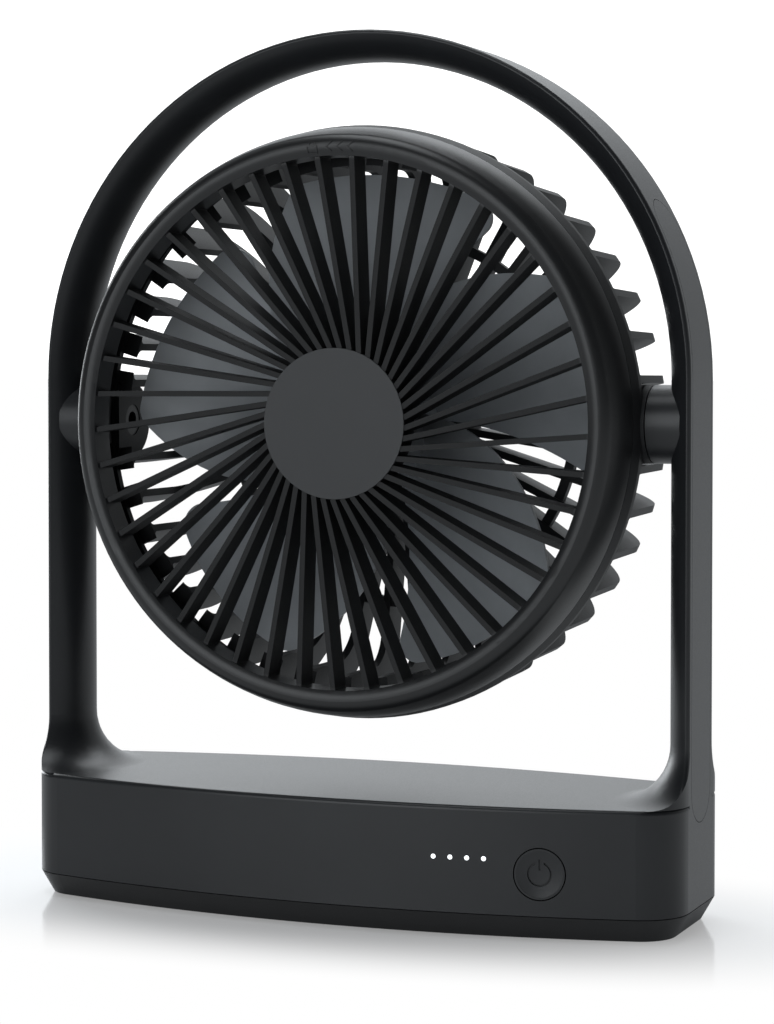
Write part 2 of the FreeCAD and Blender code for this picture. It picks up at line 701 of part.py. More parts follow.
def light_guides():
    """One short clear rod per charge light, flush with the front face."""
    return Part.makeCompound([
        inward_cylinder(x, value("light_height"), value("light_radius") - 0.03,
                        face_depth(x) + 0.05, CONTROL_DEPTH - 1.3)
        for x in light_places()])


def light_chips():
    return Part.makeCompound([
        on_face(Part.makeBox(1.6, 1.0, 1.6,
                             Vector(x - 0.8, CONTROL_DEPTH - 1.0, value("light_height") - 0.8)))
        for x in light_places()])


shaped("control_board", control_board())
shaped("tact_switch", tact_switch())
shaped("power_button", power_button())
shaped("charge_light_guides", light_guides())
shaped("charge_light_chips", light_chips())


# ---------------------------------------------------------------- pivots

def spindle(label, steps, bore, turn):
    """Round steps (radius, start, end) along the body's X axis, with a bore."""
    body = place(new_body(label), z="pivot_height", axis=Z_AXIS, angle=turn)
    for radius, start, end in steps:
        padded(body, circle(new_sketch(body, "YZ_Plane", offset=start), radius), f"({end}) - ({start})")
    start, end = steps[0][1], steps[-1][2]
    sketch = circle(new_sketch(body, "YZ_Plane", offset=start), bore)
    padded(body, sketch, f"({end}) - ({start})", kind="Pocket", backwards=True)
    return body


for side, turn in (("right", "0"), ("left", "180")):
    spindle("pivot_bush_" + side,
            (("bush_radius - 0.02", "boss_face + 0.6", "pocket_floor"),
             ("bush_radius + 2.3", "pocket_floor", "pocket_floor + 1.0")),
            "pin_radius + pin_clearance", turn)
    spindle("pivot_pin_" + side,
            (("pin_radius", "pin_inner_end", "pocket_floor + 1.4"),
             ("pin_radius + 3", "pocket_floor + 1.4", "pocket_floor + 2.5")),
            "pin_bore", turn)


# ---------------------------------------------------------------- motor lead

def lead(label, points, bends, radius=0.8):
    """A round lead along straight runs joined by tangent arcs."""
    points = [Vector(*point) for point in points]
    edges = []
    here = points[0]
    for before, corner, after, bend in zip(points, points[1:], points[2:], bends):
        arriving = (corner - before).normalize()
        leaving = (after - corner).normalize()
        turn = arriving.getAngle(leaving)
        back = bend * math.tan(turn / 2)
        first, last = corner - arriving * back, corner + leaving * back
        middle_way = (leaving - arriving).normalize()
        centre = corner + middle_way * (bend / math.cos(turn / 2))
        middle = centre - middle_way * bend
        edges.append(Part.makeLine(here, first))
        edges.append(Part.Arc(first, middle, last).toShape())
        here = last
    edges.append(Part.makeLine(here, points[-1]))
    path = Part.Wire(edges)
    section = Part.Wire([Part.makeCircle(radius, points[0], points[1] - points[0])])
    return shaped(label, path.makePipeShell([section], True, False))


# The lead runs from the main board up the right leg and through the pivot pin;
# the head's own lead takes over inside the pin.
LEAD_X = 84.05
axis_height = value("pivot_height")
lead("motor_lead",
     ((57, 4, BOARD_TOP + 1.0), (72, 4, BOARD_TOP + 1.0), (LEAD_X - 2, 0, 21), (LEAD_X - 0.8, 0, 32),
      (LEAD_X, 0, 40), (LEAD_X, 0, axis_height), (76.5, 0, axis_height)),
     (7, 7, 30, 60, 1.4))


# ---------------------------------------------------------------- head

# Front grille: a rounded ring, straight spokes that swirl, and a flat disc. It
# turns on four lugs behind hooks in the guard's rim, and then pulls off.
LUG_ANGLE = 10
grille = head_body("front_grille")
turned(grille, (("ring_inner", "-spoke_face - 0.9", "4"),
                ("ring_inner + 2.7", "-ring_crest", "3.2"),
                ("ring_outer - 2.4", "-ring_crest + 2.1", "40"),
                ("ring_outer", "-seam_front"), ("ring_outer - 2", "-seam_front"),
                ("ring_outer - 2.4", "-ring_crest + 6.6"), ("ring_inner + 2", "-ring_crest + 4.4"),
                ("ring_inner + 2", "spoke_depth - spoke_face"), ("ring_inner", "spoke_depth - spoke_face")))
turned(grille, (("0", "-spoke_face"), ("disc_radius", "-spoke_face"),
                ("disc_radius", "spoke_depth - spoke_face"), ("disc_radius - 2", "spoke_depth - spoke_face"),
                ("disc_radius - 2", "wall - spoke_face"),
                ("0", "wall - spoke_face")))
spoke_sketch = new_sketch(grille, "XZ_Plane", offset="spoke_face - spoke_depth", turn="spoke_start")
spoke = padded(grille, rectangle(spoke_sketch, "disc_radius - 1.5", "-spoke_tangent - spoke_width / 2",
                                 "ring_inner + 0.4", "-spoke_tangent + spoke_width / 2"), "spoke_depth")
ring_of(grille, [spoke], "spoke_count")
lug = turned(grille, (("ring_inner + 3.0", "-ring_crest + 4"), ("ring_inner + 3.0", "-9.4"),
                      ("ring_inner + 5.7", "-9.4"), ("ring_inner + 5.7", "-11.3"),
                      ("ring_inner + 4.2", "-11.3"), ("ring_inner + 4.2", "-ring_crest + 4")),
             angle=LUG_ANGLE)
ring_of(grille, [lug], "lug_count")

# Rear guard: straight vanes that stand out from the hub like pages, trimmed to
# the guard's rounded outside and to the hollow round the impeller. The two vane
# places at the pivots are left out and take a pad instead.
guard = head_body("rear_guard")
vane = padded(guard, polygon(new_sketch(guard, "YZ_Plane", offset="vane_root"),
                             (("-rim_rear - 2", "-vane_width / 2 - vane_fillet"),
                              ("-rim_rear", "-vane_width / 2 - vane_fillet", "-vane_fillet"),
                              ("-rim_rear + vane_fillet", "-vane_width / 2"),
                              ("cage_rear", "-vane_width / 2"), ("cage_rear", "vane_width / 2"),
                              ("-rim_rear + vane_fillet", "vane_width / 2", "-vane_fillet"),
                              ("-rim_rear", "vane_width / 2 + vane_fillet"),
                              ("-rim_rear - 2", "vane_width / 2 + vane_fillet"))),
              "cage_outer + 1 - vane_root")
ring_of(guard, [vane], "vane_slots")
for half, length in (("vane_width / 2 + 0.05", "cage_rear + rim_rear + 4"),
                     ("vane_width / 2 + vane_fillet + 0.05", "vane_fillet + 3.1")):
    padded(guard, rectangle(new_sketch(guard, "XZ_Plane", offset="rim_rear + 3"),
                            "-cage_outer - 2", f"-({half})", "cage_outer + 2", half), length, kind="Pocket")
CORNER_START = "cage_outer - cage_taper - cage_corner"
turned(guard, (("cage_outer", "-rim_rear - 5"), ("cage_outer + 9", "-rim_rear - 5"),
               ("cage_outer + 9", "cage_rear + 5"), (CORNER_START, "cage_rear + 5"),
               (CORNER_START, "cage_rear", "-cage_corner"),
               ("cage_outer - cage_taper", "cage_rear - cage_corner")), kind="Groove")
turned(guard, (("0", "-rim_rear - 5"), ("cage_inner + 4", "-rim_rear - 5"), ("cage_inner + 4", "-rim_rear"),
               ("cage_inner", "-rim_rear"), ("cage_inner", "cage_floor - cage_fillet", "cage_fillet"),
               ("cage_inner - cage_fillet", "cage_floor"), ("0", "cage_floor")), kind="Groove")
turned(guard, (("5", "cage_floor + 2.1"), ("guard_hub - 2.2", "cage_floor + 2.1"),
               ("guard_hub - 2.2", "cage_floor"), ("guard_hub", "cage_floor"), ("guard_hub", "cage_rear"),
               ("guard_hub - 2.2", "cage_rear"),
               ("guard_hub - 2.2", "cage_floor + 4.3"), ("5", "cage_floor + 4.3")))
turned(guard, (("brace_radius - brace_width / 2", "cage_floor + 0.5"),
               ("brace_radius + brace_width / 2", "cage_floor + 0.5"),
               ("brace_radius + brace_width / 2", "cage_floor + 3"),
               ("brace_radius - brace_width / 2", "cage_floor + 3")))
for side in (-1, 1):
    pad = polygon(new_sketch(guard, "YZ_Plane", offset=f"{side} * (rim_outer - 7.2)"),
                  (("-rim_rear - 1", "-boss_radius"), ("0", "-boss_radius", "boss_radius"),
                   ("boss_radius", "0", "boss_radius"), ("0", "boss_radius"),
                   ("-rim_rear - 1", "boss_radius")))
    padded(guard, pad, "5.8", backwards=side < 0)
turned(guard, (("cage_inner + 4", "-rim_rear"), ("cage_inner + 4", "-rim_rear - 2.1"),
               ("rim_outer - 2.4", "-rim_rear - 2.1"), ("rim_outer - 2.4", "-rim_front"),
               ("ring_outer", "-rim_front"), ("rim_outer", "-rim_rear - 2"), ("rim_outer", "-rim_rear")))
hook = turned(guard, (("rim_outer - 4", "-rim_front"), ("rim_outer - 2", "-rim_front"),
                      ("rim_outer - 2", "-rim_front + 1.2"), ("rim_outer - 4", "-rim_front + 1.2")),
              angle=LUG_ANGLE)
ring_of(guard, [hook], "lug_count")
for side in (-1, 1):
    collar = circle(new_sketch(guard, "YZ_Plane", offset=f"{side} * (rim_outer - 2.2)"), "boss_radius")
    padded(guard, collar, "collar_face - rim_outer + 2.2", backwards=side < 0)
    bore = circle(new_sketch(guard, "YZ_Plane", offset=f"{side} * collar_face"), "pin_radius + 0.02")
    padded(guard, bore, "collar_face - cage_inner", kind="Pocket", backwards=side < 0)


# ---------------------------------------------------------------- motor

# Fixed side of the motor, from the rear: cover, flange with bearing tube,
# circuit board, stator. Distances are from the tilt axis, + to the rear.
GUARD_FACE = "cage_floor + 2.1"
cover = head_body("motor_cover")
turned(cover, (("0", "cage_floor + 4.3"), ("vane_root - 0.15", "cage_floor + 4.3"),
               ("vane_root - 0.15", "cage_rear - 0.5"), ("0", "cage_rear")))

motor_base = head_body("motor_base")
turned(motor_base, (("tube_radius - 0.8", "0"), ("tube_radius", "0"), ("tube_radius", "cage_floor + 0.3"),
                    ("guard_hub - 3.5", "cage_floor + 0.3"), ("guard_hub - 3.5", GUARD_FACE),
                    ("2.2", GUARD_FACE), ("2.2", "cage_floor - 0.5"),
                    ("tube_radius - 0.8", "cage_floor - 0.5")))

for name, start in (("bearing_front", "0.1"), ("bearing_rear", "cage_floor - 0.5 - bearing_length")):
    turned(head_body(name), (("shaft_radius + shaft_clearance", start), ("tube_radius - 0.8", start),
                             ("tube_radius - 0.8", f"{start} + bearing_length"),
                             ("shaft_radius + shaft_clearance", f"{start} + bearing_length")))

stator = head_body("stator_core")
turned(stator, (("tube_radius", "stator_front"), ("tube_radius + 1.8", "stator_front"),
                ("tube_radius + 1.8", "stator_rear"), ("tube_radius", "stator_rear")))
tooth = padded(stator, polygon(new_sketch(stator, "XZ_Plane", offset="-stator_rear"),
                               (("tube_radius + 1", "-0.9"), ("stator_radius - 1.2", "-0.9"),
                                ("stator_radius - 0.9", "-2.7"),
                                ("sqrt(stator_radius ^ 2 - 2.7 ^ 2)", "-2.7", "stator_radius"),
                                ("sqrt(stator_radius ^ 2 - 2.7 ^ 2)", "2.7"), ("stator_radius - 0.9", "2.7"),
                                ("stator_radius - 1.2", "0.9"), ("tube_radius + 1", "0.9"))),
               "stator_rear - stator_front")
ring_of(stator, [tooth], "stator_teeth")


def coil():
    """One winding: a block round a tooth, with the tooth's own place left out."""
    inner = value("tube_radius") + 2.1
    outer = value("stator_radius") - 1.6
    front, rear = value("stator_front"), value("stator_rear")
    start, end = front - 1.0, rear + 1.0
    block = Part.makeBox(outer - inner, end - start, 3.4, Vector(inner, start, -1.7))
    wedge = Part.makePolygon([Vector(0, start, 0), Vector(20, start, -20 * COIL_SLOPE),
                              Vector(20, start, 20 * COIL_SLOPE), Vector(0, start, 0)])
    block = block.common(Part.Face(wedge).extrude(Vector(0, end - start, 0)))
    return block.cut(Part.makeBox(outer, rear - front, 1.9, Vector(0, front, -0.95)))


def turned_copies(shape, count):
    copies = []
    for i in range(count):
        copy = shape.copy()
        copy.rotate(Vector(), Y_AXIS, 360 * i / count)
        copies.append(copy)
    return copies


COIL_SLOPE = math.tan(math.pi / value("stator_teeth")) * 0.97
windings = shaped("stator_windings", Part.makeCompound(turned_copies(coil(), int(value("stator_teeth")))))
place(windings, z="pivot_height")

MOTOR_BOARD_REAR = "motor_board_front + motor_board_thickness"
motor_board = head_body("motor_board")
turned(motor_board, (("tube_radius + 0.1", "motor_board_front"), ("stator_radius + 2", "motor_board_front"),
                     ("stator_radius + 2", MOTOR_BOARD_REAR), ("tube_radius + 0.1", MOTOR_BOARD_REAR)))


def head_ring(label, radius, y, make, count, start=0):
    """Separate equal solids, evenly round the fan's axis at one distance."""
    members = []
    for i in range(count):
        turn = math.radians(start + 360 * i / count)
        member = make()
        member.Placement = Placement(Vector(), Rotation(X_AXIS, 90))
        members.append(place(member, f"({radius}) * {math.cos(turn):.6f}", y,
                             f"pivot_height + ({radius}) * {math.sin(turn):.6f}"))
    return join("Compound", label, members)


head_ring("motor_standoffs", "stator_radius + 0.6", "cage_floor + 0.3",
          lambda: cylinder("1.0", f"cage_floor + 0.3 - ({MOTOR_BOARD_REAR})"), 3, 30)
head_ring("motor_screws", "guard_hub - 5", "cage_floor + 0.3", lambda: cylinder("1.6", "1.1"), 3, 90)

# Turning side of the motor: shaft, steel can, magnet ring and impeller.
shaft = head_body("motor_shaft")
turned(shaft, (("0", "can_front - 4.6"), ("shaft_radius", "can_front - 4.6"),
               ("shaft_radius", "cage_floor - 0.8"), ("0", "cage_floor - 0.8")))
can = head_body("rotor_can")
turned(can, (("shaft_radius", "can_front"), ("can_radius", "can_front"), ("can_radius", "can_rear"),
             ("can_radius - can_wall", "can_rear"), ("can_radius - can_wall", "can_front + can_wall"),
             ("2.4", "can_front + can_wall"), ("2.4", "can_front + 2.4"), ("shaft_radius", "can_front + 2.4")))
magnets = head_body("magnet_ring")
turned(magnets, (("can_radius - can_wall - magnet_wall", "can_front + 3.6"),
                 ("can_radius - can_wall", "can_front + 3.6"), ("can_radius - can_wall", "can_rear - 0.6"),
                 ("can_radius - can_wall - magnet_wall", "can_rear - 0.6")))


def blade():
    """One blade: a screw surface that steepens towards the tip, cut to its plan.

    Sections stand at growing distances from the axis. On each, the blade's
    height follows the angle round the axis, measured from the blade's middle.
    """
    tip = value("blade_tip")
    front, rear = value("blade_front"), value("blade_rear")
    hub = value("hub_radius")
    thick = value("blade_thickness")

    def inward(radius):
        return 1 - (radius - hub) / (tip - hub)

    def middle_angle(radius):
        return value("blade_sweep") * inward(radius)

    def span(radius):
        return value("blade_span") + value("blade_spread") * inward(radius)

    def height(x, along):
        radius = math.hypot(x, along)
        turn = math.degrees(math.atan2(along, x)) - middle_angle(radius)
        return (front + rear) / 2 - (rear - front) * turn / span(radius)

    sections = []
    for x in (2, 9, 17, 27, 38, 50, 64):
        low, high = max(-0.55 * x - 2, 12 - 4 * x), 37
        stations = [low + (high - low) * i / 10 for i in range(11)]
        edges = []
        for shift in (-thick / 2, thick / 2):
            curve = Part.BSplineCurve()
            curve.interpolate([Vector(x, height(x, along) + shift, along) for along in stations])
            edges.append(curve.toShape())
        front_edge, rear_edge = edges
        sections.append(Part.Wire([front_edge,
                                   Part.makeLine(front_edge.valueAt(front_edge.LastParameter),
                                                 rear_edge.valueAt(rear_edge.LastParameter)),
                                   rear_edge,
                                   Part.makeLine(rear_edge.valueAt(rear_edge.FirstParameter),
                                                 front_edge.valueAt(front_edge.FirstParameter))]))
    screw_sheet = Part.makeLoft(sections, True, False)

    def polar(radius, turn):
        return Vector(radius * math.cos(math.radians(turn)), -40, radius * math.sin(math.radians(turn)))

    def side(sign):
        curve = Part.BSplineCurve()
        stations = [hub - 2 + (tip - hub + 2) * i / 5 for i in range(6)]
        curve.interpolate([polar(r, middle_angle(r) + sign * span(r) / 2) for r in stations])
        return curve.toShape()

    near, far = side(-1), side(1)
    root_line = Part.makeLine(far.valueAt(far.FirstParameter), near.valueAt(near.FirstParameter))
    tip_arc = Part.Arc(near.valueAt(near.LastParameter), polar(tip, 0),
                       far.valueAt(far.LastParameter)).toShape()
    plan = Part.Face(Part.Wire([near, tip_arc, far, root_line])).extrude(Vector(0, 80, 0))
    for sign, corner_radius in ((-1, 5.0), (1, 6.0)):
        corner = [edge for edge in plan.Edges if abs(edge.tangentAt(edge.FirstParameter).y) > 0.9
                  and math.hypot(edge.CenterOfMass.x, edge.CenterOfMass.z) > tip - 0.05
                  and sign * edge.CenterOfMass.z > tip / 4]
        plan = plan.makeFillet(corner_radius, corner)
    return screw_sheet.common(plan)


def impeller():
    """Hub cup over the rotor can, with its blades."""
    hub = value("hub_radius")
    can = value("can_radius")
    face, rear = value("can_front"), value("can_rear")
    outline = [Vector(value("shaft_radius"), face, 0), Vector(can, face, 0), Vector(can, rear, 0),
               Vector(hub, rear, 0), Vector(hub, face + 0.5, 0)]
    crown = Part.Arc(outline[-1], Vector(hub - 0.9, face - 1.6, 0), Vector(hub - 3, face - 2.4, 0)).toShape()
    nose = [Vector(hub - 3, face - 2.4, 0), Vector(value("shaft_radius"), face - 2.4, 0), outline[0]]
    edges = [Part.makeLine(a, b) for a, b in zip(outline, outline[1:])] + [crown]
    edges += [Part.makeLine(a, b) for a, b in zip(nose, nose[1:])]
    cup = Part.Face(Part.Wire(edges)).revolve(Vector(), Y_AXIS, 360)
    inside = Part.makeCylinder(can + 0.5, 60, Vector(0, -30, 0), Y_AXIS)
    one = blade().cut(inside)
    wheel = cup.fuse(turned_copies(one, int(value("blade_count")))).removeSplitter()
    wheel.rotate(Vector(), Y_AXIS, -value("blade_turn"))
    return wheel


place(shaped("impeller", impeller()), z="pivot_height")
nut = head_body("impeller_nut")
turned(nut, (("shaft_radius", "can_front - 4.4"), ("3", "can_front - 4.4"), ("3", "can_front - 2.4"),
             ("shaft_radius", "can_front - 2.4")))

# The head's lead runs from the right pivot pin through the empty vane place,
# along the front of the vanes, to the back of the motor's board.
lead("head_lead",
     ((76.0, 0, axis_height), (65.9, 0, axis_height), (65.6, 19.6, axis_height), (40.0, 19.9, axis_height),
      (17.0, 19.7, axis_height), (10.5, 13.3, axis_height)), (2.2, 3, 30, 6))


# ---------------------------------------------------------------- export

doc.recompute()
for obj in doc.Objects:
    if {"Invalid", "Error"} & set(obj.State):
        raise RuntimeError(f"{obj.Label} did not recompute: {obj.State}")
for obj in parts:
    shape = obj.Shape
    if shape.isNull() or not shape.isValid() or not shape.Solids:
        raise RuntimeError(f"{obj.Label} has no valid solid")
for obj in parts:
    obj.Shape.exportStep(f"parts/{obj.Label}.step")
print(len(parts), "sub-parts")
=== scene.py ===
"""Looks of a small desk fan: materials, details, studio and camera around the CAD frame."""
import json
import math

import bmesh
import bpy
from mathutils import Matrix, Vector


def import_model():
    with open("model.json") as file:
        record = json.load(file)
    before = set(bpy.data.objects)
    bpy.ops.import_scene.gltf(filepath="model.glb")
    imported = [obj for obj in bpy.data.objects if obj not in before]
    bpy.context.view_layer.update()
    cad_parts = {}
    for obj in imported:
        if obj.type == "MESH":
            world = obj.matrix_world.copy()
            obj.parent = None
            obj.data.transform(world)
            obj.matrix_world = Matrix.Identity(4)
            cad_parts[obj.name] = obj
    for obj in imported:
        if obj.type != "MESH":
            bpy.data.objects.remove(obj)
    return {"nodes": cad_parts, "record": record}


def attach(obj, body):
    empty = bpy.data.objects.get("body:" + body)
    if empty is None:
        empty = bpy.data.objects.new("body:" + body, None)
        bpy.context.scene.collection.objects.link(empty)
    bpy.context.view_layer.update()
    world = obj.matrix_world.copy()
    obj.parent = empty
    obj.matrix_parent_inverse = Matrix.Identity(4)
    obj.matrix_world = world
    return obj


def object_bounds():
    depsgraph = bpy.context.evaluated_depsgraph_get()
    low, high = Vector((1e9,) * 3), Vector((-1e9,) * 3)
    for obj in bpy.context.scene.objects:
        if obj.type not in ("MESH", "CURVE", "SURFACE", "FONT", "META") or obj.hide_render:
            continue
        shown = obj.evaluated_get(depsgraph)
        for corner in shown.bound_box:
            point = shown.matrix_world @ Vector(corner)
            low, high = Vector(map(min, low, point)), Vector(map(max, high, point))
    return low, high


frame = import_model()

CAD_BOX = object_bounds()
AXIS_HEIGHT = 0.1231
RING_INSIDE = 0.0658

# Linear colours
HOUSING = (0.0132, 0.0142, 0.0160)
GRILLE = (0.0100, 0.0104, 0.0112)
GUARD = (0.0135, 0.0141, 0.0152)
DISC = (0.0245, 0.0256, 0.0276)
TRAY = (0.006, 0.006, 0.0065)
# Blade colour is much lighter than the real dark grey plastic: painted light standing in for light the blades
# lack behind the grille
BLADE_PAINTED_LIGHT = (0.395, 0.415, 0.435)

LIGHT_GLOW = 1.3


# ---------------------------------------------------------------- materials

def new_material(name):
    material = bpy.data.materials.new(name)
    material.use_nodes = True
    tree = material.node_tree
    shader = tree.nodes["Principled BSDF"]
    return material, tree, shader


def noise(tree, scale, detail=3.0, rough=0.55, coords=None):
    node = tree.nodes.new("ShaderNodeTexNoise")
    node.inputs["Scale"].default_value = scale
    node.inputs["Detail"].default_value = detail
    node.inputs["Roughness"].default_value = rough
    if coords is None:
        coords = tree.nodes.new("ShaderNodeTexCoord").outputs["Object"]
    tree.links.new(coords, node.inputs["Vector"])
    return node


def spread(tree, value, low, high):
    """Map a 0..1 value onto low..high."""
    node = tree.nodes.new("ShaderNodeMapRange")
    node.inputs["From Min"].default_value = 0.3
    node.inputs["From Max"].default_value = 0.7
    node.inputs["To Min"].default_value = low
    node.inputs["To Max"].default_value = high
    tree.links.new(value, node.inputs["Value"])
    return node.outputs["Result"]


def tint(tree, value, dark, light):
    ramp = tree.nodes.new("ShaderNodeValToRGB")
    ramp.color_ramp.elements[0].position = 0.3
    ramp.color_ramp.elements[1].position = 0.7
    ramp.color_ramp.elements[0].color = (*dark, 1)
    ramp.color_ramp.elements[1].color = (*light, 1)
    tree.links.new(value, ramp.inputs["Fac"])
    return ramp.outputs["Color"]


def bump(tree, height, distance):
    node = tree.nodes.new("ShaderNodeBump")
    node.inputs["Distance"].default_value = distance
    node.inputs["Strength"].default_value = 1.0
    tree.links.new(height, node.inputs["Height"])
    return node.outputs["Normal"]


def moulded(name, colour, rough=0.42, grain=5200, depth=0.000012, specular=0.5, change=0.10):
    """Moulded plastic: a fine spark-eroded grain, faint flow mottling, uneven gloss."""
    material, tree, shader = new_material(name)
    coords = tree.nodes.new("ShaderNodeTexCoord").outputs["Object"]
    mottle = noise(tree, 60, 4, 0.6, coords)
    fine = noise(tree, grain, 2, 0.6, coords)
    dark = tuple(channel * (1 - change) for channel in colour)
    light = tuple(channel * (1 + change) for channel in colour)
    tree.links.new(tint(tree, mottle.outputs["Fac"], dark, light), shader.inputs["Base Color"])
    tree.links.new(spread(tree, fine.outputs["Fac"], rough - 0.05, rough + 0.05), shader.inputs["Roughness"])
    tree.links.new(bump(tree, fine.outputs["Fac"], depth), shader.inputs["Normal"])
    shader.inputs["Specular IOR Level"].default_value = specular
    return material


def grille_plastic(name):
    """Satin on the round ring; duller on the spokes inside it, whose colour is darkened with painted shade.
    """
    material, tree, shader = new_material(name)
    coords = tree.nodes.new("ShaderNodeTexCoord").outputs["Object"]
    axes = tree.nodes.new("ShaderNodeSeparateXYZ")
    tree.links.new(coords, axes.inputs["Vector"])
    drop = tree.nodes.new("ShaderNodeMath")
    drop.operation = "SUBTRACT"
    drop.inputs[1].default_value = AXIS_HEIGHT
    tree.links.new(axes.outputs["Z"], drop.inputs[0])
    flat = tree.nodes.new("ShaderNodeCombineXYZ")
    tree.links.new(axes.outputs["X"], flat.inputs["X"])
    tree.links.new(drop.outputs["Value"], flat.inputs["Y"])
    distance = tree.nodes.new("ShaderNodeVectorMath")
    distance.operation = "LENGTH"
    tree.links.new(flat.outputs["Vector"], distance.inputs[0])
    ring = tree.nodes.new("ShaderNodeMapRange")
    ring.inputs["From Min"].default_value = RING_INSIDE - 0.0008
    ring.inputs["From Max"].default_value = RING_INSIDE - 0.0001
    tree.links.new(distance.outputs["Value"], ring.inputs["Value"])
    mottle = noise(tree, 60, 4, 0.6, coords)
    fine = noise(tree, 5200, 2, 0.6, coords)
    shade = tree.nodes.new("ShaderNodeMix")
    shade.data_type = "RGBA"
    tree.links.new(ring.outputs["Result"], shade.inputs["Factor"])
    # Painted shade: the spokes get a darker colour than the ring, though both are the same plastic
    spoke_painted_shade = tint(tree, mottle.outputs["Fac"], (0.0034, 0.0036, 0.0040), (0.0044, 0.0046, 0.0052))
    ring_dark = tuple(0.9 * channel for channel in GRILLE)
    ring_light = tuple(1.1 * channel for channel in GRILLE)
    ring_tone = tint(tree, mottle.outputs["Fac"], ring_dark, ring_light)
    tree.links.new(spoke_painted_shade, shade.inputs["A"])
    tree.links.new(ring_tone, shade.inputs["B"])
    tree.links.new(shade.outputs["Result"], shader.inputs["Base Color"])
    gloss = tree.nodes.new("ShaderNodeMapRange")
    tree.links.new(ring.outputs["Result"], gloss.inputs["Value"])
    tree.links.new(spread(tree, fine.outputs["Fac"], 0.60, 0.72), gloss.inputs["To Min"])
    tree.links.new(spread(tree, fine.outputs["Fac"], 0.30, 0.40), gloss.inputs["To Max"])
    tree.links.new(gloss.outputs["Result"], shader.inputs["Roughness"])
    tree.links.new(bump(tree, fine.outputs["Fac"], 0.000012), shader.inputs["Normal"])
    shader.inputs["Specular IOR Level"].default_value = 0.5
    return material


def turned_metal(name, colour, rough=0.3, scale=900, stretch=(1, 12, 1)):
    """Machined or rolled metal: fine lines along one direction."""
    material, tree, shader = new_material(name)
    coords = tree.nodes.new("ShaderNodeTexCoord").outputs["Object"]
    mapping = tree.nodes.new("ShaderNodeMapping")
    mapping.inputs["Scale"].default_value = stretch
    tree.links.new(coords, mapping.inputs["Vector"])
    lines = noise(tree, scale, 4, 0.7, mapping.outputs["Vector"])
    dark = tuple(channel * 0.8 for channel in colour)
    tree.links.new(tint(tree, lines.outputs["Fac"], dark, colour), shader.inputs["Base Color"])
    tree.links.new(spread(tree, lines.outputs["Fac"], rough - 0.08, rough + 0.1), shader.inputs["Roughness"])
    tree.links.new(bump(tree, lines.outputs["Fac"], 0.00001), shader.inputs["Normal"])
    shader.inputs["Metallic"].default_value = 1.0
    return material


def rubber(name, colour):
    return moulded(name, colour, rough=0.75, grain=2600, depth=0.00003, specular=0.3)


def circuit_board(name):
    """Green solder mask with a faint pattern of tracks under it."""
    material, tree, shader = new_material(name)
    coords = tree.nodes.new("ShaderNodeTexCoord").outputs["Object"]
    cells = tree.nodes.new("ShaderNodeTexVoronoi")
    cells.distance = "MANHATTAN"
    cells.feature = "DISTANCE_TO_EDGE"
    cells.inputs["Scale"].default_value = 420
    tree.links.new(coords, cells.inputs["Vector"])
    tree.links.new(tint(tree, cells.outputs["Distance"], (0.010, 0.070, 0.028), (0.016, 0.11, 0.045)),
                   shader.inputs["Base Color"])
    tree.links.new(bump(tree, cells.outputs["Distance"], 0.00002), shader.inputs["Normal"])
    shader.inputs["Roughness"].default_value = 0.3
    return material


def windings(name):
    """Copper wire laid turn by turn."""
    material, tree, shader = new_material(name)
    coords = tree.nodes.new("ShaderNodeTexCoord").outputs["Object"]
    wave = tree.nodes.new("ShaderNodeTexWave")
    wave.bands_direction = "Y"
    wave.inputs["Scale"].default_value = 700
    wave.inputs["Distortion"].default_value = 0.6
    tree.links.new(coords, wave.inputs["Vector"])
    tree.links.new(tint(tree, wave.outputs["Fac"], (0.28, 0.10, 0.04), (0.62, 0.27, 0.13)),
                   shader.inputs["Base Color"])
    tree.links.new(bump(tree, wave.outputs["Fac"], 0.00008), shader.inputs["Normal"])
    shader.inputs["Metallic"].default_value = 1.0
    shader.inputs["Roughness"].default_value = 0.28
    return material


def charge_light(name):
    """Milky rod lit from behind."""
    material, tree, shader = new_material(name)
    fine = noise(tree, 1800, 2)
    tree.links.new(tint(tree, fine.outputs["Fac"], (0.80, 0.84, 0.88), (0.95, 0.97, 1.0)),
                   shader.inputs["Base Color"])
    shader.inputs["Roughness"].default_value = 0.35
    shader.inputs["Emission Color"].default_value = (0.93, 0.97, 1.0, 1)
    shader.inputs["Emission Strength"].default_value = LIGHT_GLOW
    return material


